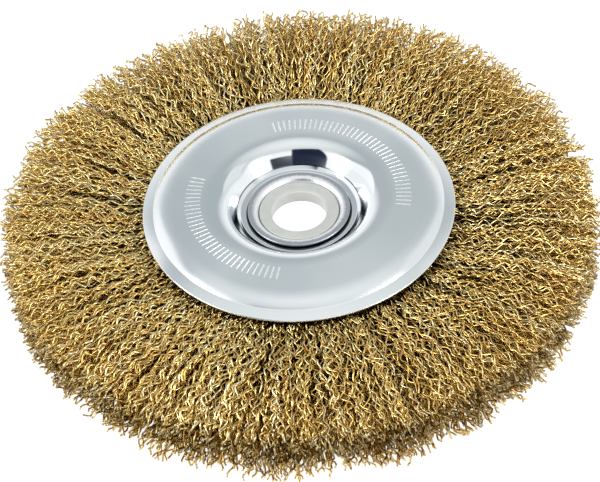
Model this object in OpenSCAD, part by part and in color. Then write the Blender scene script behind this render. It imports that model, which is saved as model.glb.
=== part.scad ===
// Crimped wire wheel brush for a bench grinder.
// The wheel lies flat: its spindle axis is Z, and the origin is the centre of the bore at mid-thickness.
// Two dished side plates are clamped by a flared tube and hold the folded wires on a steel core ring.
// The thousands of crimped wires are drawn as solid tufts.

/* [Brush] */
// Diameter over the wire tips
brush_d = 154; // [140:1:180]
// Width of the wire face near the tips
face_w = 17.6; // [14:0.2:24]
// How much the crowned tips narrow on each side
tip_crown = 1.6; // [0.5:0.1:3]
// How far the wires run clear of the plate rims before they spread
neck_len = 1; // [0.5:0.1:3]
// Length over which the wires spread to the full face width
spread_len = 22; // [15:0.5:26]
// Number of tufts in a bundle
tufts = 2; // [2:1:4]
// Width of the slits between tufts, and of the gaps between bundles
slit_w = 0.3; // [0.2:0.05:0.6]
// Length of one wave of the crimp
crimp_len = 5; // [4:0.5:8]
// How far the crimp swings a tuft to each side
crimp_swing = 0.5; // [0.2:0.1:0.9]
// How far a tuft falls away from its ridge, for each millimetre to the side
ridge_fall = 0.5; // [0.2:0.05:0.8]
// How far a tuft's tip tapers back at its sides
tip_notch = 3.4; // [2:0.1:5]
// Width of the blunt end of a tuft
tip_flat_w = 1; // [0.5:0.1:1.4]

/* [Side plates] */
// Diameter of each side plate
plate_d = 80; // [76:0.5:90]
// Thickness of the plate's sheet
plate_t = 0.8; // [0.6:0.1:1.2]
// Height of the flat outer face above mid-thickness
flat_h = 7.5; // [6.5:0.1:9]
// Width of the lip inside the rim
lip_w = 2.9; // [2:0.1:4]
// Height that the lip drops on its way to the rim
lip_drop = 0.8; // [0.5:0.1:1.6]
// Width of the shoulder between the flat and the lip
shoulder_w = 4.5; // [3.5:0.1:6]
// Height that the shoulder drops
shoulder_drop = 2; // [1.4:0.05:2.4]
// Bend radius where the flat turns into the shoulder
shoulder_bend = 6; // [3:0.5:8]
// Bend radius where the shoulder turns into the lip
lip_bend = 2.4; // [1:0.1:4]
// Diameter of the hub seat, where the wall of the bowl starts
seat_d = 32; // [30:0.5:36]
// How much the seat rises towards the wall of the bowl
seat_rise = 0.7; // [0.3:0.1:1]
// Width of the sloping rim of the seat
seat_slope_w = 1.7; // [1.2:0.1:2.4]
// Width of the wall of the bowl, seen along the axis
bowl_w = 4.3; // [3.5:0.1:6]
// Bend radius at the top of the bowl
bowl_bend = 5; // [3:0.5:8]
// Bend radius of the crease at the bottom of the bowl
crease_bend = 1.2; // [0.9:0.1:1.5]
// Bend radius where the seat leaves the spacer ring
seat_bend = 1.2; // [0.5:0.1:2]

/* [Hub] */
// Bore of the flared tube
tube_bore_d = 20.6; // [20:0.1:21.5]
// Wall of the flared tube
tube_t = 0.8; // [0.6:0.1:1]
// Radius of the flare, on its visible side
flare_r = 1.9; // [1.5:0.1:2.2]
// Width of the flat end of the flare
flare_lip_w = 1; // [0.5:0.1:1.2]
// Edge radius on the end of the flare
flare_edge = 0.25; // [0.1:0.05:0.4]
// Thickness of the spacer ring between the plates
spacer_t = 2.8; // [1.6:0.1:3.4]
// Outer diameter of the spacer ring
spacer_d = 28.6; // [28:0.1:30]

/* [Reducing bush] */
// Bore of the bush, which takes the spindle
bush_bore_d = 14.2; // [12.7:0.1:17]
// Length of the bush
bush_len = 4.4; // [3:0.1:5]
// Length of the tapered lead-in at each end of the bush's bore
lead_len = 0.6; // [0.4:0.1:1.3]
// Depth of the lead-in
lead_depth = 0.5; // [0.05:0.05:0.8]
// Edge radius on the outside of the bush
bush_edge = 0.25; // [0.1:0.05:0.4]

/* [Core ring] */
// Diameter of the core ring, at the middle of its wire
core_d = 53; // [50:0.5:60]
// Thickness of the core ring's wire
core_wire_d = 2.5; // [2:0.1:3.5]
// Thickness of the folded wires round the core ring
fold_t = 2.8; // [2:0.1:3]

/* [Fits] */
// Radial clearance of the bush in the tube
bush_fit = 0.05; // [0.02:0.01:0.09]
// Radial clearance of the tube in the spacer ring and the plates
tube_fit = 0.05; // [0.02:0.01:0.1]
// Clearance of the wires from the plates and the core ring
wire_fit = 0.1; // [0.05:0.05:0.2]

/* [Hidden] */
bundle_count = 48;
bundle_names = [for (i = [1 : bundle_count]) str("wire_bundle_", i < 10 ? "0" : "", i)];

steps = 12;          // straight pieces in each bend of a profile
round_fn = 180;      // smoothness of what is turned about the axis
core_fn = 48;        // smoothness of the core ring's wire
fold_steps = 4;      // straight pieces in the bend of the folded wires
root_reach = 1;      // how far the undivided root of a bundle reaches past the neck
over = 1;            // how far a cutting shape reaches past what it cuts

// The hub, from the spacer ring outwards along the axis
seat_h = spacer_t / 2 + plate_t;
flare_under_r = flare_r - tube_t;
flare_centre = [tube_bore_d / 2 + flare_r, seat_h - flare_under_r];
flare_top_h = seat_h + tube_t;
flare_end_r = flare_centre.x + flare_lip_w;
plate_hole_r = flare_centre.x + tube_fit;
bush_r = tube_bore_d / 2 - bush_fit;

// The outer face of a side plate, from its hole to its rim
bend_r = plate_d / 2 - lip_w;
bend_h = flat_h - shoulder_drop;
plate_corners = [
    [plate_hole_r, seat_h],
    [seat_d / 2 - seat_slope_w, seat_h],
    [seat_d / 2, seat_h + seat_rise],
    [seat_d / 2 + bowl_w, flat_h],
    [bend_r - shoulder_w, flat_h],
    [bend_r, bend_h],
    [plate_d / 2, bend_h - lip_drop]
];
plate_bends = [0, seat_bend, crease_bend, bowl_bend, shoulder_bend, lip_bend, 0];

// The wires
core_r = core_d / 2;
fold_r = core_wire_d / 2 + fold_t;
fold_in_r = core_r - fold_r;
tip_r = brush_d / 2;
tip_side_r = tip_r - tip_notch;
neck_r = plate_d / 2 + neck_len;
spread_r = neck_r + spread_len;
root_end_r = neck_r + root_reach;
bundle_angle = 360 / bundle_count;
tuft_angle = bundle_angle / tufts;

function unit(v) = v / norm(v);
function reversed(list) = [for (i = [len(list) - 1 : -1 : 0]) list[i]];
function polar(r, a) = r * [cos(a), sin(a)];

// The points of an arc, from angle a to angle b
function arc(centre, r, a, b, n = steps) = [for (i = [0 : n]) centre + polar(r, a + (b - a) * i / n)];

// The short way round from angle a to angle b
function short_turn(a, b) = let (d = b - a) d > 180 ? d - 360 : d < -180 ? d + 360 : d;

// The bend of radius r that replaces the corner at q, between p and s
function bend(p, q, s, r) =
    let (
        to_p = unit(p - q),
        to_s = unit(s - q),
        half = acos(to_p * to_s) / 2,
        centre = q + unit(to_p + to_s) * r / sin(half),
        first = q + to_p * r / tan(half) - centre,
        last = q + to_s * r / tan(half) - centre,
        a = atan2(first.y, first.x)
    )
    arc(centre, r, a, a + short_turn(a, atan2(last.y, last.x)));

// A path through the corners, with each inner corner bent to its radius
function bent_path(corners, radii) = [
    corners[0],
    for (i = [1 : len(corners) - 2])
        each radii[i] > 0 ? bend(corners[i - 1], corners[i], corners[i + 1], radii[i]) : [corners[i]],
    corners[len(corners) - 1]
];

// The path moved sideways by d, to its right
function beside(path, d) = [
    for (i = [0 : len(path) - 1])
        let (
            before = unit(path[max(i, 1)] - path[max(i, 1) - 1]),
            after = unit(path[min(i, len(path) - 2) + 1] - path[min(i, len(path) - 2)]),
            middle = unit(before + after)
        )
        path[i] + [middle.y, -middle.x] * d / (middle * after)
];

plate_face = bent_path(plate_corners, plate_bends);
plate_back = beside(plate_face, plate_t);
rim_inside = plate_back[len(plate_back) - 1];

// Half the thickness of the wires where the rims pinch them, and on the fold
pinch_h = rim_inside.y - wire_fit;
fold_corner = [core_r + fold_r, min(fold_r, flat_h - plate_t - wire_fit)];

module turned(points) rotate_extrude($fn = round_fn) polygon(points);

// A dished plate of one thickness, bowl downwards, with its rim towards the wires
module side_plate()
    turned(concat(plate_face, reversed(plate_back)));

module front_plate()
    color("#b4c0c6") side_plate();

module rear_plate()
    color("#a9b6bc") mirror([0, 0, 1]) side_plate();

// The tube that is flared over both plates and clamps them on the spacer ring
module flared_tube() {
    flare = concat(
        arc(flare_centre, flare_r, 180, 90),
        arc([flare_end_r - flare_edge, flare_top_h - flare_edge], flare_edge, 90, 0),
        [[flare_end_r, seat_h]],
        arc(flare_centre, flare_under_r, 90, 180)
    );
    inner = [for (i = [0 : steps]) flare[i]];
    outer = [for (i = [steps + 1 : len(flare) - 1]) flare[i]];
    half = concat(inner, outer);
    mirrored = [for (p = reversed(half)) [p.x, -p.y]];
    color("#d7dbe0") turned(concat(half, mirrored));
}

// Keeps the plates apart while the tube is flared
module spacer_ring() {
    color("#8d969b")
    difference() {
        cylinder(h = spacer_t, d = spacer_d, center = true, $fn = round_fn);
        cylinder(h = spacer_t + over, r = tube_bore_d / 2 + tube_t + tube_fit, center = true, $fn = round_fn);
    }
}

// The ring that every wire is folded over
module core_ring()
    color("#7d8488") rotate_extrude($fn = round_fn) translate([core_r, 0]) circle(d = core_wire_d, $fn = core_fn);

// The plastic ring that fits the tube's bore to a smaller spindle
module reducing_bush() {
    bore_r = bush_bore_d / 2;
    top = bush_len / 2;
    half = concat(
        [[bore_r, top - lead_len], [bore_r + lead_depth, top]],
        arc([bush_r - bush_edge, top - bush_edge], bush_edge, 90, 0)
    );
    color("#ecebe4") turned(concat(half, [for (p = reversed(half)) [p.x, -p.y]]));
}

// A point at distance r along the ray at angle a, and d to the left of that ray
function beside_ray(r, a, d) = polar(r, a) + polar(d, a + 90);

// One side of a tuft, seen along the axis: straight in the root, then swung by the crimp out to the tip
function tuft_side(a, gap) =
    let (
        start_r = root_end_r + root_reach,
        bends = round((tip_side_r - start_r) / crimp_len * 2)
    )
    [
        beside_ray(bend_r, a, gap),
        for (k = [0 : bends])
            let (swing = k == 0 ? 0 : k % 2 == 0 ? crimp_swing : -crimp_swing)
            beside_ray(start_r + (tip_side_r - start_r) * k / bends, a, gap + swing)
    ];

function tuft_outline(a) =
    let (flat_angle = tip_flat_w / tip_r * 180 / PI)
    concat(
        tuft_side(a - tuft_angle / 2, slit_w / 2),
        [polar(tip_r, a - flat_angle / 2), polar(tip_r, a + flat_angle / 2)],
        reversed(tuft_side(a + tuft_angle / 2, -slit_w / 2))
    );

// All that lies under a gable roof over the x axis, whose ridge passes height h at distance r and climbs
module under_roof(r, h, climb) {
    depth = 4 * face_w;
    translate([r, 0, h])
    rotate([0, 90 - climb, 0])
    linear_extrude(height = 2 * brush_d, center = true)
    polygon([[0, 0], [depth, depth / ridge_fall], [depth, -depth / ridge_fall]]);
}

// The ridge climbs from the neck, runs level along the wire face and falls to the tip
module half_gable() {
    intersection() {
        under_roof(neck_r, pinch_h, atan2(face_w / 2 - pinch_h, spread_len));
        under_roof(spread_r, face_w / 2, 0);
        under_roof(tip_side_r, face_w / 2, -atan2(tip_crown, tip_notch));
    }
}

module tuft(a) {
    intersection() {
        linear_extrude(height = 2 * face_w, center = true) polygon(tuft_outline(a));
        rotate(a) half_gable();
        rotate(a) mirror([0, 0, 1]) half_gable();
    }
}

// Half the section of the undivided root, from the fold round the core ring out to the neck
function root_section() = [
    [fold_in_r, 0],
    each arc([core_r, 0], fold_r, 180, 90, fold_steps),
    fold_corner,
    [bend_r, pinch_h],
    [root_end_r, pinch_h]
];

module root() {
    half = root_section();
    side = bundle_angle / 2;
    gap = slit_w / 2;
    intersection() {
        rotate_extrude($fn = round_fn)
        difference() {
            polygon(concat(half, [for (p = reversed(half)) if (p.y > 0) [p.x, -p.y]]));
            translate([core_r, 0]) circle(d = core_wire_d + 2 * wire_fit, $fn = core_fn);
        }
        linear_extrude(height = 2 * face_w, center = true)
        polygon([
            beside_ray(fold_in_r - over, -side, gap),
            beside_ray(root_end_r + over, -side, gap),
            beside_ray(root_end_r + over, side, -gap),
            beside_ray(fold_in_r - over, side, -gap)
        ]);
    }
}

// The crimped wires between two slits, as solid tufts on one root
module wire_bundle(index) {
    color("#c8a14e")
    rotate(index * bundle_angle) {
        root();
        for (k = [0 : tufts - 1]) tuft((k + 0.5) * tuft_angle - bundle_angle / 2);
    }
}

front_plate();
rear_plate();
flared_tube();
spacer_ring();
core_ring();
reducing_bush();
for (i = [0 : bundle_count - 1])
    wire_bundle(i);
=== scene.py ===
# Crimped wire wheel brush. The plates, tube and bush are turned anew with smoother bends than the packed
# solids, and the solid tufts give way to separate crimped wires, each a hairpin over the core ring.

from math import atan2, cos, degrees, pi, radians, sin
import bpy
import numpy as np
from mathutils import Matrix, Vector


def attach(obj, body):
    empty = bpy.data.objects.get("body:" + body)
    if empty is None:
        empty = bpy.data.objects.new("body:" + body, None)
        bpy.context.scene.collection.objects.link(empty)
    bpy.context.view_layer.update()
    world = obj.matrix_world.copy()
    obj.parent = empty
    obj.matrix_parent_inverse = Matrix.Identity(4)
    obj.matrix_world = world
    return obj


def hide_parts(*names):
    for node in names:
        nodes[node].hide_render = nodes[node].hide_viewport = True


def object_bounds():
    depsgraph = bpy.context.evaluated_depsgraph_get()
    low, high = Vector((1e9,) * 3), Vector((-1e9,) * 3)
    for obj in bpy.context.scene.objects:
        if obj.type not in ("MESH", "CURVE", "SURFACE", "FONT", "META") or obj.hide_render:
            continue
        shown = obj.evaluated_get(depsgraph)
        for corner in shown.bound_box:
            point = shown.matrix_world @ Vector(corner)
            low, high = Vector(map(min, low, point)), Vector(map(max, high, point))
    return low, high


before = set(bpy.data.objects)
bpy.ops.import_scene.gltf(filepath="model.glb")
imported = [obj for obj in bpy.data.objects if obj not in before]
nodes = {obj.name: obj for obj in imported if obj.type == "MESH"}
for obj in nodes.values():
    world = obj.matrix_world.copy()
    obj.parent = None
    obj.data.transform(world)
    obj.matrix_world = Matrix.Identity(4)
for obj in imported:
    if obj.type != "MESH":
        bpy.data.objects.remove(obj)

cadBox = [list(corner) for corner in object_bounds()]
mm = 0.001


view = {
    "imageW": 600, "imageH": 482,           # pixels
    "aimHeight": 4.7 * mm,                  # the point it aims at, on the axis, over mid-thickness
    "aimX": 298.45, "aimY": 202.95,         # where that point falls, in pixels
    "distance": 368.5 * mm,                 # from that point
    "focal": 1441,                          # in pixels
    "elevation": 44.95, "roll": -4.65,      # degrees
    "sensor": 36,                           # millimetres
    "nearest": 0.01, "farthest": 20,        # metres
}


def addCamera():
    # it stands in front at an elevation and rolls; the shift brings the point it aims at to its pixel
    data = bpy.data.cameras.new("camera")
    data.sensor_width = view["sensor"]
    data.lens = view["focal"] / view["imageW"] * view["sensor"]
    data.shift_x = (view["imageW"] / 2 - view["aimX"]) / view["imageW"]
    data.shift_y = (view["aimY"] - view["imageH"] / 2) / view["imageW"]
    data.clip_start = view["nearest"]
    data.clip_end = view["farthest"]
    camera = bpy.data.objects.new("camera", data)
    bpy.context.scene.collection.objects.link(camera)
    tilt = radians(view["elevation"])
    spot = Vector((0, -cos(tilt), sin(tilt))) * view["distance"] + Vector((0, 0, view["aimHeight"]))
    turn = Matrix.Rotation(radians(90) - tilt, 4, "X") @ Matrix.Rotation(radians(view["roll"]), 4, "Z")
    camera.matrix_world = Matrix.Translation(spot) @ turn
    bpy.context.scene.camera = camera
    print("camera placed")


addCamera()


class Val:
    # one socket of a node tree; an expression on it adds Math nodes
    def __init__(self, tree, socket):
        self.tree, self.socket = tree, socket

    def math(self, operation, *others):
        return addNode(self.tree, "ShaderNodeMath", {"operation": operation}, [self, *others])

    def __add__(self, other):
        return self.math("ADD", other)

    __radd__ = __add__

    def __sub__(self, other):
        return self.math("SUBTRACT", other)

    def __rsub__(self, other):
        return addNode(self.tree, "ShaderNodeMath", {"operation": "SUBTRACT"}, [other, self])

    def __mul__(self, other):
        return self.math("MULTIPLY", other)

    __rmul__ = __mul__

    def __truediv__(self, other):
        return self.math("DIVIDE", other)

    def between(self, low, high):
        # 0 at low, 1 at high, smooth between
        sockets = {"Value": self, "From Min": low, "From Max": high}
        return addNode(self.tree, "ShaderNodeMapRange", {"interpolation_type": "SMOOTHSTEP"}, sockets)


def addNode(tree, kind, settings, inputs, output=0):
    # settings go on first, then values or links go to the sockets
    node = tree.nodes.new(kind)
    for name, value in settings.items():
        if name == "stops":
            elements = node.color_ramp.elements
            while len(elements) < len(value):
                elements.new(0.5)
            for element, (position, colour) in zip(elements, value):
                element.position = position
                element.color = (*colour, 1)
        else:
            setattr(node, name, value)
    pairs = inputs.items() if isinstance(inputs, dict) else enumerate(inputs)
    for name, value in pairs:
        if isinstance(value, Val):
            tree.links.new(value.socket, node.inputs[name])
        else:
            node.inputs[name].default_value = value
    return Val(tree, node.outputs[output])


def newMaterial(name):
    # a new material, its tree and the shader in it
    material = bpy.data.materials.new(name)
    material.use_nodes = True
    tree = material.node_tree
    shader = tree.nodes["Principled BSDF"]
    return material, tree, shader


def feed(tree, shader, sockets):
    # a Val is linked, anything else is set on the socket itself
    for name, value in sockets.items():
        if isinstance(value, Val):
            tree.links.new(value.socket, shader.inputs[name])
        else:
            shader.inputs[name].default_value = value


def place(tree):
    # the point's own coordinates, in metres
    return addNode(tree, "ShaderNodeTexCoord", {}, {}, "Object")


def polar(tree):
    # distance from the axis, angle round it and distance from mid-thickness, in millimetres and radians
    split = addNode(tree, "ShaderNodeSeparateXYZ", {}, {"Vector": place(tree)})
    x, y, z = (Val(tree, split.socket.node.outputs[axis]) for axis in "XYZ")
    radius = (x * x + y * y).math("SQRT") * (1 / mm)
    return radius, y.math("ARCTAN2", x), z.math("ABSOLUTE") * (1 / mm)


def noise(tree, scale, detail, vector=None):
    # soft blotches around 0.5
    inputs = {"Vector": vector or place(tree), "Scale": scale, "Detail": detail}
    return addNode(tree, "ShaderNodeTexNoise", {}, inputs)


def ramp(tree, value, stops):
    # the colour that belongs to a value, straight between the stops
    return addNode(tree, "ShaderNodeValToRGB", {"stops": stops}, {"Fac": value})


def mixColour(tree, factor, low, high):
    # low where the factor is 0, high where it is 1
    low, high = (c if isinstance(c, Val) else (*c, 1) for c in (low, high))
    return addNode(tree, "ShaderNodeMix", {"data_type": "RGBA"}, {0: factor, 6: low, 7: high}, 2)


def bump(tree, height, distance):
    # the normal of a surface raised by height times the distance
    return addNode(tree, "ShaderNodeBump", {}, {"Height": height, "Distance": distance}, "Normal")


def inSpan(value, low, high, soft):
    # 1 from low to high, and 0 beyond the soft margin on either side
    return value.between(low - soft, low) * (1 - value.between(high, high + soft))


def cutEdge(radius, height, rim, top, within, below):
    # 1 on the narrow side of a sheet: within its rim and below its top face; the spans are (start, full)
    side = radius.between(rim / mm - within[0], rim / mm - within[1])
    return side * (1 - height.between(top / mm - below[0], top / mm - below[1]))


plateFinish = {
    # radii, widths and spans are in millimetres
    "zinc": (0.82, 0.865, 0.88), "pale": (0.89, 0.92, 0.925), "grimeAndShade": (0.05, 0.05, 0.06),
    "clouds": 45, "cloudSpan": (0.35, 0.7),             # noise scale, and where the noise turns pale
    "rough": 0.08, "roughSpread": 0.06,
    "satinSpan": (21, 25), "satin": 0.21,               # the bowl is polished, the flat is satin
    "glossSpan": (33, 35.5), "gloss": 0.1,              # the shoulder and lip are between the two
    "turned": 0.75, "turnedRotation": 0.25,             # reflections smear across the turning marks
    "lipSpan": (33.5, 35.5), "lipShare": 0.7,
    "creases": [(13.3, 0.1), (15.95, 0.13)],            # lines of painted shade, with dirt, in the creases: radius and half width
    "creaseFade": (0.5, 1.3), "dirtAndShadeShare": 0.85,        # shares of the half width between which they fade
    # a painted highlight on the ridge inside the lip, the cut edge painted dark as shade, and a painted
    # highlight on the burr along the trimmed edge
    "wearAndPaintedLight": (0.98, 0.98, 0.98), "paintedLightShare": 0.8, "ridgeHighlightAt": 37.1, "ridgeHighlightHalf": 0.25,
    "edgeWithin": (0.5, 0.4), "edgeBelow": (0.3, 0.12), "edgeShare": 0.8,
    "burrHighlight": (0.96, 0.97, 0.97), "burrWithin": (0.38, 0.19), "burrBelow": (0.2, 0.1),
    "burrCloud": (0.3, 0.5), "burrDull": 0.8,
    "ticks": {"inner": 25.1, "outer": 28.7, "soft": 0.2, "every": radians(3), "strokeHalf": (0.102, 0.238),
              "arcs": [(radians(-15), radians(102)), (radians(160), radians(257))]},
    "tickTone": (0.93, 0.95, 0.96), "tickRough": 0.25, "tickDepth": 0.1 * mm,
}


def inArc(angle, low, high):
    # 1 between low and high: there the angle from the arc's middle has a larger cosine than half the arc
    middle, half = (low + high) / 2, (high - low) / 2
    away = (angle - middle).math("COSINE")
    return away.math("GREATER_THAN", cos(half))


def tickMask(angle, radius, ticks):
    # radial strokes of one width, spaced evenly along the arcs; each fades out between two half widths
    nearest = (angle / ticks["every"]).math("FRACT") - 0.5
    offset = (nearest * ticks["every"]).math("ABSOLUTE") * radius
    stroke = 1 - offset.between(*ticks["strokeHalf"])
    band = inSpan(radius, ticks["inner"], ticks["outer"], ticks["soft"])
    first, second = (inArc(angle, *arc) for arc in ticks["arcs"])
    return stroke * band * first.math("MAXIMUM", second)


def plateMaterial():
    # bright zinc with soft clouds, painted shade with dirt in the creases of the hub, a painted highlight
    # on the ridge inside the lip, stamped ticks, and a trimmed rim edge painted dark as shade with a
    # painted highlight on its burr
    finish = plateFinish
    material, tree, shader = newMaterial("zincPlate")
    radius, angle, height = polar(tree)
    cloud = noise(tree, finish["clouds"], 2)
    zinc = mixColour(tree, cloud.between(*finish["cloudSpan"]), finish["zinc"], finish["pale"])
    fullShare, goneShare = finish["creaseFade"]
    # painted shade, with dirt, darkens the creases by the hub
    for middle, half in finish["creases"]:
        dirtAndShade = 1 - (radius - middle).math("ABSOLUTE").between(half * fullShare, half * goneShare)
        zinc = mixColour(tree, dirtAndShade * finish["dirtAndShadeShare"], zinc, finish["grimeAndShade"])
    zinc = mixColour(tree, radius.between(*finish["lipSpan"]) * finish["lipShare"], zinc, finish["pale"])
    # a painted highlight line along the ridge inside the lip
    wearAndPaintedLight = 1 - (radius - finish["ridgeHighlightAt"]).math("ABSOLUTE").between(0, finish["ridgeHighlightHalf"])
    zinc = mixColour(tree, wearAndPaintedLight * finish["paintedLightShare"], zinc, finish["wearAndPaintedLight"])
    rimH = plate["flatH"] - plate["shoulderDrop"] - plate["lipDrop"]
    # the rim's cut edge is painted dark as the shade under the rim
    edge = cutEdge(radius, height, plate["rimR"], rimH, finish["edgeWithin"], finish["edgeBelow"])
    zinc = mixColour(tree, edge * finish["edgeShare"], zinc, finish["grimeAndShade"])
    # a painted highlight on the burr along the rim's edge: white, and duller than the metal
    burrHighlight = radius.between(*(plate["rimR"] / mm - within for within in finish["burrWithin"]))
    burrHighlight = burrHighlight * height.between(*(rimH / mm - below for below in finish["burrBelow"]))
    burrHighlight = burrHighlight * cloud.between(*finish["burrCloud"])
    zinc = mixColour(tree, burrHighlight, zinc, finish["burrHighlight"])
    tick = tickMask(angle, radius, finish["ticks"])
    zinc = mixColour(tree, tick, zinc, finish["tickTone"])
    rough = (cloud - 0.5) * finish["roughSpread"] + tick * finish["tickRough"] + finish["rough"]
    rough = rough + radius.between(*finish["satinSpan"]) * finish["satin"]
    rough = rough - radius.between(*finish["glossSpan"]) * finish["gloss"]
    feed(tree, shader, {
        "Metallic": 1 - burrHighlight * finish["burrDull"], "Base Color": zinc, "Roughness": rough,
        "Anisotropic": finish["turned"], "Anisotropic Rotation": finish["turnedRotation"],
        "Normal": bump(tree, 1 - tick, finish["tickDepth"]),
    })
    return material


hubFinish = {
    "zinc": (0.93, 0.935, 0.95), "wearAndPaintedLight": (0.42, 0.45, 0.49), "edge": (0.04, 0.04, 0.05),
    "marksRound": 26, "marksAlong": 0.5, "marks": 1.6,  # long across the flare, narrow round it
    "paintedShadeSpan": (12.1, 12.8), "ragged": 0.9, "paintedLightShare": 0.75,     # painted shade from these radii outwards
    "markSpan": (0.5, 0.8), "markShare": 0.3, "markDepth": 0.03 * mm,
    "edgeWithin": (0.3, 0.2), "edgeBelow": (0.3, 0.12), "edgeShare": 0.9,
    "rough": 0.32, "roughSpread": 0.15,
}


def hubMaterial():
    # bright zinc, with the fine radial marks that flaring leaves, painted shade darkening the flare towards
    # its outer edge, and a cut edge painted dark as the shadow in the gap under it
    finish = hubFinish
    material, tree, shader = newMaterial("flaredZinc")
    radius, angle, height = polar(tree)
    spread = {"X": angle * finish["marksRound"], "Y": radius * finish["marksAlong"], "Z": 0}
    marks = noise(tree, finish["marks"], 3, addNode(tree, "ShaderNodeCombineXYZ", {}, spread))
    # painted shade: darker towards the flare's outer edge, made ragged by the flaring marks, which also
    # darken a little
    wearAndPaintedLight = (radius + marks * finish["ragged"]).between(*finish["paintedShadeSpan"]) * finish["paintedLightShare"]
    wearAndPaintedLight = wearAndPaintedLight + marks.between(*finish["markSpan"]) * finish["markShare"]
    colour = mixColour(tree, wearAndPaintedLight, finish["zinc"], finish["wearAndPaintedLight"])
    # the tube's cut edge is painted dark as the shadow in the gap under the flange
    edge = cutEdge(radius, height, tube["endR"], tube["topH"], finish["edgeWithin"], finish["edgeBelow"])
    feed(tree, shader, {
        "Metallic": 1.0, "Base Color": mixColour(tree, edge * finish["edgeShare"], colour, finish["edge"]),
        "Roughness": (marks - 0.5) * finish["roughSpread"] + finish["rough"],
        "Normal": bump(tree, marks, finish["markDepth"]),
    })
    return material


bushFinish = {
    "nylon": (0.76, 0.77, 0.73), "shade": (0.70, 0.71, 0.67), "bore": (0.90, 0.90, 0.87),
    "clouds": 220, "cloudSpan": (0.3, 0.7), "grain": 0.02 * mm,
    "boreSpan": (0.05, 0.25),               # how far outside the bore its painted lighter colour ends, in millimetres
    "rough": 0.42, "roughSpread": 0.12, "glow": 0.15, "glowDepth": 1 * mm,
}


def bushMaterial():
    # cloudy, slightly translucent nylon, with painted light making the bore paler
    finish = bushFinish
    material, tree, shader = newMaterial("naturalNylon")
    cloud = noise(tree, finish["clouds"], 3)
    radius = polar(tree)[0]
    colour = mixColour(tree, cloud.between(*finish["cloudSpan"]), finish["nylon"], finish["shade"])
    # painted light: the bore's wall is made paler
    bore = 1 - radius.between(*(bush["boreR"] / mm + outside for outside in finish["boreSpan"]))
    colour = mixColour(tree, bore, colour, finish["bore"])
    feed(tree, shader, {
        "Base Color": colour, "Roughness": (cloud - 0.5) * finish["roughSpread"] + finish["rough"],
        "Subsurface Weight": finish["glow"], "Subsurface Scale": finish["glowDepth"],
        "Normal": bump(tree, cloud, finish["grain"]),
    })
    return material


steelFinish = {
    "dull": (0.42, 0.43, 0.45), "bright": (0.56, 0.57, 0.58), "clouds": 300,
    "rough": 0.3, "roughSpread": 0.2,
}


def steelMaterial():
    # plain drawn steel, for the rings inside
    finish = steelFinish
    material, tree, shader = newMaterial("plainSteel")
    cloud = noise(tree, finish["clouds"], 3)
    feed(tree, shader, {
        "Metallic": 1.0, "Base Color": mixColour(tree, cloud, finish["dull"], finish["bright"]),
        "Roughness": cloud * finish["roughSpread"] + finish["rough"],
    })
    return material


wireFinish = {
    "tones": [(0.0, (0.60, 0.37, 0.11)), (0.35, (0.87, 0.61, 0.20)),
              (0.7, (0.98, 0.76, 0.33)), (1.0, (1.0, 0.91, 0.62))],
    "toneFrom": 0.1, "toneShare": 0.8,      # each wire's own place in the tones
    "blotches": 400, "blotchShare": 0.5,    # and how far blotches along the wire move it
    "soot": (0.022, 0.014, 0.007), "sootAndShadeRough": 0.2,
    "tipTone": (0.34, 0.22, 0.14), "tipSpan": (73, 77), "tipShare": 0.3,    # radii in millimetres
    "rough": 0.14, "roughSpread": 0.10,
}


def wireMaterial():
    # each wire has its own tone; the wires deep in the brush, next to the plates and at their deeper cut
    # ends are darkened by soot and painted shade, and the cut tips are brown
    finish = wireFinish
    material, tree, shader = newMaterial("brassedWire")
    radius = polar(tree)[0]
    tone = addNode(tree, "ShaderNodeAttribute", {"attribute_name": "tone"}, {}, "Fac")
    soot = addNode(tree, "ShaderNodeAttribute", {"attribute_name": "soot"}, {}, "Fac")
    blotch = (noise(tree, finish["blotches"], 2) - 0.5) * finish["blotchShare"]
    brass = ramp(tree, tone * finish["toneShare"] + blotch + finish["toneFrom"], finish["tones"])
    tip = radius.between(*finish["tipSpan"]) * finish["tipShare"]
    brass = mixColour(tree, tip, brass, finish["tipTone"])
    feed(tree, shader, {
        "Metallic": 1.0,
        "Base Color": mixColour(tree, soot, brass, finish["soot"]),
        "Roughness": tone * finish["roughSpread"] + soot * finish["sootAndShadeRough"] + finish["rough"],
    })
    return material


def addMesh(name, points, faceGroups, material, attributes=None):
    # faceGroups are arrays of faces that have the same number of corners
    mesh = bpy.data.meshes.new(name)
    corners = np.concatenate([f.ravel() for f in faceGroups])
    sizes = np.concatenate([np.full(len(f), f.shape[1]) for f in faceGroups])
    mesh.vertices.add(len(points))
    mesh.vertices.foreach_set("co", points.astype(np.float32).ravel())
    mesh.loops.add(len(corners))
    mesh.loops.foreach_set("vertex_index", corners.astype(np.int32))
    mesh.polygons.add(len(sizes))
    mesh.polygons.foreach_set("loop_start", (np.cumsum(sizes) - sizes).astype(np.int32))
    mesh.polygons.foreach_set("loop_total", sizes.astype(np.int32))
    mesh.polygons.foreach_set("use_smooth", np.ones(len(sizes), bool))
    for label, values in (attributes or {}).items():
        mesh.attributes.new(label, "FLOAT", "POINT").data.foreach_set("value", values.astype(np.float32))
    mesh.materials.append(material)
    mesh.update(calc_edges=True)
    mesh.validate()
    piece = bpy.data.objects.new(name, mesh)
    bpy.context.scene.collection.objects.link(piece)
    return piece


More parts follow.
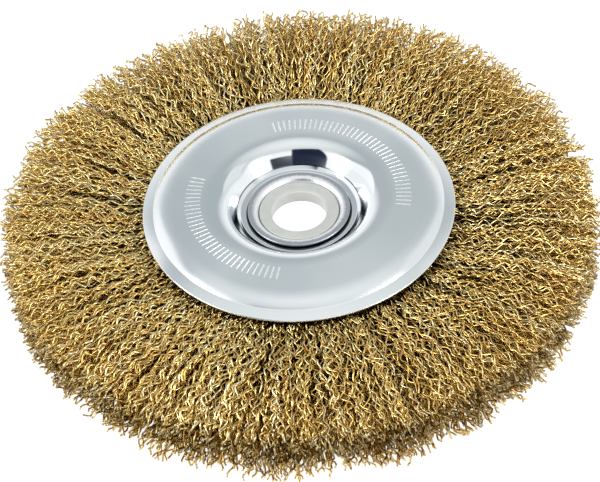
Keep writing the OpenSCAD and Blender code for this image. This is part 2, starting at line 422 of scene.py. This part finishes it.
plate = {
    "sheet": 0.8 * mm, "flatH": 7.5 * mm, "rimR": 40 * mm, "edgeR": 0.3 * mm,
    "lipW": 2.9 * mm, "lipDrop": 0.72 * mm, "shoulderW": 2.45 * mm, "shoulderDrop": 1.55 * mm,
    "seatR": 16 * mm, "seatRise": 0.8 * mm, "seatSlopeW": 1.1 * mm, "seatH": 2.2 * mm, "bowlW": 3.4 * mm,
    "holeR": 12.25 * mm,
    "bends": [0.8 * mm, 0.8 * mm, 6.3 * mm, 9.6 * mm, 0.6 * mm],   # from the seat out to the lip
}
tube = {
    "boreR": 10.3 * mm, "sheet": 0.8 * mm, "flareR": 1.9 * mm,
    "endR": 13.2 * mm, "topH": 3 * mm, "edgeR": 0.25 * mm,
}
bush = {
    "boreR": 7.1 * mm, "outerR": 10.25 * mm, "length": 4.4 * mm,
    "leadLen": 0.6 * mm, "leadDepth": 0.5 * mm, "edgeR": 0.25 * mm,
    "leadBends": [0.5 * mm, 0.3 * mm],
}
turning = {
    "around": 288, "perBend": 10, "perEdge": 5,         # steps round the axis and along each arc
    "flareInner": 14, "flareOuter": 10, "bushLead": 5, "bushEdge": 6,
}


def arc(centre, radius, start, end, steps):
    # points on a circle, from one angle to the other
    a = np.linspace(start, end, steps + 1)[:, None]
    return np.array(centre) + radius * np.hstack([np.cos(a), np.sin(a)])


def bentPath(corners, radii, steps):
    # a path through the corners, each inner one replaced by an arc that touches both its sides
    corners = np.array(corners, float)
    parts = [corners[:1]]
    for before, corner, after, radius in zip(corners, corners[1:], corners[2:], radii):
        toBefore = (before - corner) / np.linalg.norm(before - corner)
        toAfter = (after - corner) / np.linalg.norm(after - corner)
        half = np.arccos(toBefore @ toAfter) / 2
        middle = toBefore + toAfter
        centre = corner + middle / np.linalg.norm(middle) * radius / sin(half)
        spokes = [corner + side * radius / np.tan(half) - centre for side in (toBefore, toAfter)]
        start, end = (atan2(spoke[1], spoke[0]) for spoke in spokes)
        end = start + (end - start + pi) % (2 * pi) - pi
        parts.append(arc(centre, radius, start, end, steps))
    return np.concatenate([*parts, corners[-1:]])


def beside(path, distance):
    # the path moved to its right by the sheet's thickness, mitred at its corners
    run = np.diff(path, axis=0)
    run /= np.linalg.norm(run, axis=1, keepdims=True)
    before, after = np.vstack([run[:1], run]), np.vstack([run, run[-1:]])
    middle = before + after
    middle /= np.linalg.norm(middle, axis=1, keepdims=True)
    right = np.stack([middle[:, 1], -middle[:, 0]], 1)
    return path + right * distance / (middle * after).sum(1, keepdims=True)


def turned(name, outline, node, body, material):
    # a closed outline of (radius, height) points, swept once round the axis
    n, m = turning["around"], len(outline)
    a = np.arange(n) * 2 * pi / n
    r, z = outline[:, 0], outline[:, 1]
    x, y = np.outer(np.cos(a), r), np.outer(np.sin(a), r)
    points = np.stack([x, y, np.tile(z, (n, 1))], -1).reshape(-1, 3)
    i, j = np.meshgrid(np.arange(n), np.arange(m), indexing="ij")
    here, along = i * m + j, i * m + (j + 1) % m
    around = (i + 1) % n * m
    quads = np.stack([here, around + j, around + (j + 1) % m, along], -1).reshape(-1, 4)
    if (r * np.roll(z, -1) - np.roll(r, -1) * z).sum() < 0:         # keep the faces pointing outwards
        quads = quads[:, ::-1]
    piece = addMesh(name, points, [quads], material)
    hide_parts(node)
    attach(piece, body)
    return piece


def rounded(start, end, radius, steps):
    # the rounded edge of a sheet, from one face's end to the other's
    start, end = np.array(start), np.array(end)
    across = (end - start) / np.linalg.norm(end - start)
    out = np.array([-across[1], across[0]])
    a = np.linspace(0, pi / 2, steps + 1)[:, None]
    first = start + across * radius - across * radius * np.cos(a) + out * radius * (np.sin(a) - 1)
    last = end - across * radius + across * radius * np.sin(a) + out * radius * (np.cos(a) - 1)
    return np.concatenate([first, last])


def plateOutline():
    # the face runs from the hole to the rim: seat, bowl wall, flat, shoulder, lip; the back is beside it
    p = plate
    flatR = p["seatR"] - p["seatSlopeW"]
    bendR = p["rimR"] - p["lipW"]
    bendH = p["flatH"] - p["shoulderDrop"]
    corners = [(p["holeR"], p["seatH"]), (flatR, p["seatH"]), (p["seatR"], p["seatH"] + p["seatRise"]),
               (p["seatR"] + p["bowlW"], p["flatH"]), (bendR - p["shoulderW"], p["flatH"]), (bendR, bendH),
               (p["rimR"], bendH - p["lipDrop"])]
    face = bentPath(corners, p["bends"], turning["perBend"])
    back = beside(face, p["sheet"])
    edge = rounded(face[-1], back[-1], p["edgeR"], turning["perEdge"])
    return np.concatenate([face[:-1], edge, back[-2::-1]])


def tubeOutline():
    # the bore, rolled out over a quarter circle at each end, and back at the sheet's thickness
    t = tube
    centre = np.array([t["boreR"] + t["flareR"], t["topH"] - t["flareR"]])
    inner = arc(centre, t["flareR"], pi, pi / 2, turning["flareInner"])
    top, under = (t["endR"], t["topH"]), (t["endR"], t["topH"] - t["sheet"])
    edge = rounded(top, under, t["edgeR"], turning["perEdge"])
    outer = arc(centre, t["flareR"] - t["sheet"], pi / 2, pi, turning["flareOuter"])
    half = np.concatenate([inner, edge, outer])
    return np.concatenate([half, half[::-1] * (1, -1)])


def bushOutline():
    # a plain ring with a lead-in at each end of the bore and a small radius outside
    b = bush
    top = b["length"] / 2
    inner = [(b["boreR"], top - b["leadLen"]), (b["boreR"] + b["leadDepth"], top)]
    edgeFrom = b["outerR"] - b["edgeR"]
    lead = bentPath([(b["boreR"], 0), *inner, (edgeFrom, top)], b["leadBends"], turning["bushLead"])
    outer = arc((edgeFrom, top - b["edgeR"]), b["edgeR"], pi / 2, 0, turning["bushEdge"])
    half = np.concatenate([lead[1:-1], outer])
    return np.concatenate([half, half[::-1] * (1, -1)])


def addTurned():
    # the rear plate is the front one turned over; the two rings inside keep their solids
    zinc, hub, nylon = plateMaterial(), hubMaterial(), bushMaterial()
    outline = plateOutline()
    turned("plateFront", outline, "front_plate", "wheel", zinc)
    turned("plateRear", outline[::-1] * (1, -1), "rear_plate", "wheel", zinc)
    turned("hubTube", tubeOutline(), "flared_tube", "wheel", hub)
    turned("nylonBush", bushOutline(), "reducing_bush", "bush", nylon)
    steel = steelMaterial()
    for name in ("spacer_ring", "core_ring"):
        for slot in nodes[name].material_slots:
            slot.material = steel
    print("plates, tube and bush turned")


addTurned()


wires = {
    "bundles": 48, "banks": 12, "tufts": 96,
    "hairpins": 2880,                       # each has a leg above mid-thickness and a leg below
    "radius": 0.26 * mm, "sides": 3,
    "ringR": 26.5 * mm, "ringWireR": 1.25 * mm, "foldT": 2.6 * mm,      # the core ring and its wires
    # radii: under the plates' lip, just outside it, where the brush is at full width, and the longest tips
    "rimR": 37 * mm, "neckR": 41 * mm, "spreadR": 63 * mm, "tipR": 77 * mm, "tipGap": 0.1 * mm,
    "neckH": 3.5 * mm, "faceH": 8.55 * mm, "midH": 0.15 * mm,           # half widths, and the middle's
    "crimpPitch": 4.8 * mm, "crimpPitchSpread": 0.4 * mm,
    "crimpSize": 0.85 * mm, "crimpSizeSpread": 0.2 * mm, "crimpLeast": 0.3 * mm, "crimpMost": 1.15 * mm,
    "crimpAtRim": 0.3, "crimpGrowth": 1 * mm,           # flattened by the plates, full past the neck
    "drift": 0.5, "driftLength": 6 * mm,    # how far the crimp runs ahead and behind, in radians
    "lean": 3.2 * mm,                       # sideways drift of a tip
    "roam": 0.9 * mm, "roamLength": 9 * mm,             # slow wander of a wire from its line
    "twist": 1.3, "twistLength": 5 * mm,    # how far the plane of a wire's crimp turns back and forth
    "tuftPull": 0.05, "tuftShift": 0.25, "tuftShort": 1.4 * mm, "tipSpread": 1.6 * mm,
    "ridgeFall": 0.05,                      # fall of a tuft from its ridge, for each millimetre to the side
    # soot with painted shade: the wires deeper in the brush and those next to the plates are darkened
    "sootAndShadeFrom": 0.1, "sootAndShadeTo": 0.5,         # depth in the brush, from 0 at its face to 1 at mid-thickness
    "sootAndShadeAtNeck": 0.98, "sootAndShadeAtTip": 0.08, "sootAndShadeEnd": 6 * mm, "rimSootAndShade": 0.25, "rimSootAndShadeLength": 5 * mm,
    "tipShade": 0.75, "tipLength": 4 * mm,   # the cut ends of the deeper wires are painted dark as shade
    "pointsPerCrimp": (4, 6), "fineFrom": 0.5,          # the finer crimps are those nearer the face
    "ringSteps": 6, "foldSteps": 5, "deepest": 0.03, "jitter": (0.1, 0.9), "firstSeed": 100,
    "tuftSeeds": {1: 7, -1: 8},             # for the upper and the lower side
}


def smooth(low, high, value):
    # 0 at low, 1 at high, level at both
    t = np.clip((value - low) / (high - low), 0, 1)
    return t * t * (3 - 2 * t)


def tuftOf(theta, side):
    # the middle of the tuft that each wire belongs to, and how much shorter that tuft is than the longest
    w = wires
    angle = 2 * pi / w["tufts"]
    index = np.floor(theta / angle).astype(int)
    table = np.random.default_rng(w["tuftSeeds"][side]).normal(0, 1, (2, w["tufts"]))
    shift, short = table[:, index % w["tufts"]]
    return (index + 0.5 + shift * w["tuftShift"]) * angle, np.abs(short) * w["tuftShort"]


def legPoints(rng, theta, layer, side, perCrimp):
    # one leg per row, from the tip in to the core ring, as (count, steps, 3), and how much soot and painted
    # shade darken each point
    # its height follows the bundle's half width, less the fall from the tuft's ridge, and the crimp swings
    # about that line in a plane of its own
    w = wires
    count = len(theta)
    tuft, short = tuftOf(theta, side)
    tip = w["tipR"] - w["tipGap"] - short - np.abs(rng.normal(0, w["tipSpread"], count))
    pitch = rng.normal(w["crimpPitch"], w["crimpPitchSpread"], count)
    size = np.clip(rng.normal(w["crimpSize"], w["crimpSizeSpread"], count), w["crimpLeast"], w["crimpMost"])
    outer = int((w["tipR"] - w["rimR"]) / w["crimpPitch"] * perCrimp) + 1
    inner = w["ringSteps"]
    t = np.concatenate([np.linspace(0, 1, outer), 1 + np.arange(1, inner + 1) / inner])[None, :]
    r = tip[:, None] + (w["rimR"] - tip[:, None]) * np.clip(t, 0, 1)
    r = r + (w["ringR"] - w["rimR"]) * np.clip(t - 1, 0, 1)

    phase, plane, wander = (rng.uniform(0, 2 * pi, count)[:, None] for _ in range(3))
    plane = plane + w["twist"] * np.sin(r / w["twistLength"] + phase * 2)
    phase = phase + w["drift"] * np.sin(r / w["driftLength"] + wander)
    wave = np.sin(2 * pi * (tip[:, None] - r) / pitch[:, None] + phase)
    grow = w["crimpAtRim"] + (1 - w["crimpAtRim"]) * smooth(w["rimR"], w["neckR"] + w["crimpGrowth"], r)
    swing = size[:, None] * grow
    freed = smooth(w["neckR"], w["tipR"], r)
    angle = theta[:, None] + (tuft - theta)[:, None] * w["tuftPull"] * freed
    angle = angle + rng.normal(0, w["lean"], count)[:, None] * freed / r
    angle = angle + rng.normal(0, w["roam"], count)[:, None] * np.sin(r / w["roamLength"] + wander * 3) / r
    aside = np.abs(angle - tuft[:, None]) * r
    angle = angle + swing * np.cos(plane) * wave / r

    fold = w["ringWireR"] + w["radius"] + layer * (w["foldT"] - 2 * w["radius"])
    neck = w["midH"] + layer * (w["neckH"] - w["midH"])
    face = w["midH"] + layer * (w["faceH"] - w["midH"])
    z = fold[:, None] + (neck - fold)[:, None] * smooth(w["ringR"], w["rimR"], r)
    z = z + (face - neck)[:, None] * smooth(w["neckR"], w["spreadR"], r)
    z = z - aside * w["ridgeFall"] * layer[:, None] * smooth(w["neckR"], w["spreadR"], r)
    most = w["neckH"] + (w["faceH"] - w["neckH"]) * smooth(w["neckR"], w["spreadR"], r)
    lift = swing * np.sin(plane)
    z = side * np.minimum(z, most - np.abs(lift)) + lift * wave

    # painted shade, with soot: darker deeper in the brush and next to the plates' rim
    outward = smooth(w["neckR"], w["tipR"] - w["sootAndShadeEnd"], r)
    strength = w["sootAndShadeAtNeck"] + (w["sootAndShadeAtTip"] - w["sootAndShadeAtNeck"]) * outward
    soot = smooth(w["sootAndShadeFrom"], w["sootAndShadeTo"], 1 - layer)[:, None] * strength
    soot = np.maximum(soot, w["rimSootAndShade"] * (1 - smooth(w["neckR"], w["neckR"] + w["rimSootAndShadeLength"], r)))
    # painted shade on the cut ends of the deeper wires
    cutEnd = 1 - smooth(0, w["tipLength"], tip[:, None] - r)
    soot = np.maximum(soot, w["tipShade"] * cutEnd * (1 - layer[:, None]))
    return np.stack([r * np.cos(angle), r * np.sin(angle), z], -1), soot


def foldPoints(theta, layer, otherLayer):
    # the half turn round the core ring's inner side, from above to below
    w = wires
    a = np.linspace(0, 1, w["foldSteps"] + 2)[1:-1][None, :]
    between = layer[:, None] * (1 - a) + otherLayer[:, None] * a
    away = w["ringWireR"] + w["radius"] + between * (w["foldT"] - 2 * w["radius"])
    r = w["ringR"] - away * np.sin(pi * a)
    z = away * np.cos(pi * a)
    return np.stack([r * np.cos(theta)[:, None], r * np.sin(theta)[:, None], z], -1)


def tubeMesh(paths, radius, sides):
    # a small polygon is carried along each path; its first side stays square to the wheel's radius
    count, steps, _ = paths.shape
    run = np.gradient(paths, axis=1)
    run /= np.linalg.norm(run, axis=2, keepdims=True)
    out = paths * (1, 1, 0)
    aside = np.stack([-out[..., 1], out[..., 0], np.zeros((count, steps))], -1)
    aside -= (aside * run).sum(-1, keepdims=True) * run
    aside /= np.linalg.norm(aside, axis=2, keepdims=True)
    up = np.cross(run, aside)
    turn = np.arange(sides)[:, None] * 2 * pi / sides
    ring = aside[:, :, None, :] * np.cos(turn) + up[:, :, None, :] * np.sin(turn)
    points = (paths[:, :, None, :] + ring * radius).reshape(-1, 3)
    i, j, k = np.meshgrid(np.arange(count), np.arange(steps - 1), np.arange(sides), indexing="ij")
    here = (i * steps + j) * sides
    following = (k + 1) % sides
    quads = np.stack([here + k, here + following, here + sides + following, here + sides + k], -1)
    first = np.arange(count)[:, None] * steps * sides + np.arange(sides)[None, ::-1]
    last = (np.arange(count)[:, None] * steps + steps - 1) * sides + np.arange(sides)[None, :]
    return points, quads.reshape(-1, 4), np.concatenate([first, last])


def hairpinBank(bank, material):
    # the wires of a few neighbouring bundles, in groups by how finely their crimps are drawn
    w = wires
    rng = np.random.default_rng(w["firstSeed"] + bank)
    count = w["hairpins"] // w["banks"]
    span = 2 * pi / w["banks"]
    start = (bank * w["bundles"] // w["banks"] - 0.5) * 2 * pi / w["bundles"]
    theta = start + (np.arange(count) + rng.uniform(*w["jitter"], count)) * span / count
    upper, lower = rng.uniform(w["deepest"], 1, count), rng.uniform(w["deepest"], 1, count)
    points, quads, ends, tones, sootAndShadeValues, used = [], [], [], [], [], 0
    for upperFine in (False, True):
        for lowerFine in (False, True):
            pick = ((upper > w["fineFrom"]) == upperFine) & ((lower > w["fineFrom"]) == lowerFine)
            per = [w["pointsPerCrimp"][fine] for fine in (upperFine, lowerFine)]
            top, topSootAndShade = legPoints(rng, theta[pick], upper[pick], 1, per[0])
            low, lowSootAndShade = legPoints(rng, theta[pick], lower[pick], -1, per[1])
            fold = foldPoints(theta[pick], upper[pick], lower[pick])
            paths = np.concatenate([top, fold, low[:, ::-1]], 1)
            # the fold round the core ring is fully darkened, soot with painted shade
            soot = np.concatenate([topSootAndShade, np.ones(fold.shape[:2]), lowSootAndShade[:, ::-1]], 1)
            p, q, e = tubeMesh(paths, w["radius"], w["sides"])
            points.append(p)
            quads.append(q + used)
            ends.append(e + used)
            tones.append(np.repeat(rng.uniform(0, 1, len(paths)), paths.shape[1] * w["sides"]))
            sootAndShadeValues.append(np.repeat(soot.ravel(), w["sides"]))
            used += len(p)
    name = f"wires_{bank + 1:02d}"
    faces = [np.concatenate(quads), np.concatenate(ends)]
    attributes = {"tone": np.concatenate(tones), "soot": np.concatenate(sootAndShadeValues)}
    piece = addMesh(name, np.concatenate(points), faces, material, attributes)
    perBank = w["bundles"] // w["banks"]
    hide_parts(*[f"wire_bundle_{bank * perBank + i + 1:02d}" for i in range(perBank)])
    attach(piece, "wheel")
    return len(piece.data.polygons)


def addWires():
    # one piece for each bank of bundles
    material = wireMaterial()
    faces = sum(hairpinBank(bank, material) for bank in range(wires["banks"]))
    print("wires:", wires["hairpins"], "hairpins,", faces, "faces")


addWires()


room = {
    "floorSize": 6, "floorTone": 0.5, "floorRough": 0.9, "floorGlow": 0.87,
    "ambient": (0.33, 0.345, 0.36),         # what the walls give to dull surfaces
    # what metal sees behind the wheel, by the sine of the elevation: white, then grey walls, a pale ceiling
    "walls": [(0.0, (1.05, 1.05, 1.05)), (0.28, (1.0, 1.01, 1.02)), (0.45, (0.76, 0.79, 0.81)),
              (0.60, (0.48, 0.52, 0.54)), (0.78, (0.47, 0.515, 0.535)), (0.90, (0.74, 0.77, 0.78)),
              (1.0, (0.92, 0.94, 0.95))],
    # the walls in front of the wheel are white: by the sine of how far to the front, and below which height
    "front": (1.05, 1.06, 1.07), "frontSpan": (-0.1, 0.2), "frontTop": (0.75, 0.92),
    # panels by the walls: azimuth from the front and elevation, in degrees, how soft, and colour
    "panels": [((-138, -95), (22, 43), 6, (1.10, 1.11, 1.12)), ((95, 130), (32, 54), 7, (0.85, 0.87, 0.88)),
               ((-50, 3), (27, 60), 3, (0.013, 0.02, 0.045)), ((0, 38), (27, 33), 3, (0.013, 0.02, 0.045))],
}


def addFloor():
    # white to the camera and to metal, pale to everything else, with the wheel's shadow on it
    material, tree, shader = newMaterial("floor")
    tone = (room["floorTone"],) * 3 + (1,)
    feed(tree, shader, {"Base Color": tone, "Roughness": room["floorRough"], "Specular IOR Level": 0.0})
    glow = addNode(tree, "ShaderNodeEmission", {}, {"Color": (1, 1, 1, 1), "Strength": room["floorGlow"]})
    dark = addNode(tree, "ShaderNodeEmission", {}, {"Color": (0, 0, 0, 1), "Strength": 0})
    pick = addNode(tree, "ShaderNodeMixShader", {}, {0: seenDirectly(tree), 1: dark, 2: glow})
    total = addNode(tree, "ShaderNodeAddShader", {}, {0: Val(tree, shader.outputs[0]), 1: pick})
    tree.links.new(total.socket, tree.nodes["Material Output"].inputs["Surface"])
    half, height = room["floorSize"] / 2, cadBox[0][2]
    square = ((-half, -half), (half, -half), (half, half), (-half, half))
    corners = np.array([(x, y, height) for x, y in square])
    floor = addMesh("floor", corners, [np.array([[0, 1, 2, 3]])], material)
    print("floor laid")


def seenDirectly(tree):
    # 1 for what the camera sees, also in metal or through glass
    rays = addNode(tree, "ShaderNodeLightPath", {}, {}, "Is Camera Ray").socket.node.outputs
    kinds = ("Camera", "Glossy", "Transmission")
    camera, glossy, clear = (Val(tree, rays[f"Is {kind} Ray"]) for kind in kinds)
    return camera.math("MAXIMUM", glossy).math("MAXIMUM", clear)


softboxes = {
    # place, size and power of each lamp; all of them point at the wheel
    "left": ((-0.88, -0.19, 0.62), (0.5, 0.5), 5.2),
    "right": ((0.76, -0.46, 0.66), (0.5, 0.5), 5),
}


def addLight(name, spot, size, power):
    # an area lamp that faces the wheel
    data = bpy.data.lights.new(name, "AREA")
    data.shape = "RECTANGLE"
    data.size, data.size_y = size
    data.energy = power
    lamp = bpy.data.objects.new(name, data)
    lamp.location = spot
    lamp.rotation_euler = Vector(spot).to_track_quat("Z", "Y").to_euler()
    bpy.context.scene.collection.objects.link(lamp)


def addRoom():
    # by direction: grey walls, white ones in front, then the panels; dull surfaces get one even light
    # and the camera itself sees plain white
    world = bpy.data.worlds.new("studio")
    bpy.context.scene.world = world
    world.use_nodes = True
    tree = world.node_tree
    toward = addNode(tree, "ShaderNodeTexCoord", {}, {}, "Generated")
    split = addNode(tree, "ShaderNodeSeparateXYZ", {}, {"Vector": toward}).socket.node.outputs
    x, y, z = (Val(tree, split[axis]) for axis in "XYZ")
    azimuth = x.math("ARCTAN2", y * -1) * degrees(1)
    elevation = z.math("ARCSINE") * degrees(1)
    front = (y * -1).between(*room["frontSpan"]) * (1 - z.between(*room["frontTop"]))
    walls = mixColour(tree, front, ramp(tree, z, room["walls"]), room["front"])
    for across, up, soft, colour in room["panels"]:
        inside = inSpan(azimuth, *across, soft) * inSpan(elevation, *up, soft)
        walls = mixColour(tree, inside, walls, colour)
    byCamera = addNode(tree, "ShaderNodeLightPath", {}, {}, "Is Camera Ray")
    colour = mixColour(tree, seenDirectly(tree), room["ambient"], walls)
    colour = mixColour(tree, byCamera, colour, (1, 1, 1))
    back = tree.nodes["Background"]
    tree.links.new(colour.socket, back.inputs["Color"])
    back.inputs["Strength"].default_value = 1
    for name, (spot, size, power) in softboxes.items():
        addLight(name, spot, size, power)
    print("lights set")


addFloor()
addRoom()
bpy.context.scene.view_settings.view_transform = "Standard"
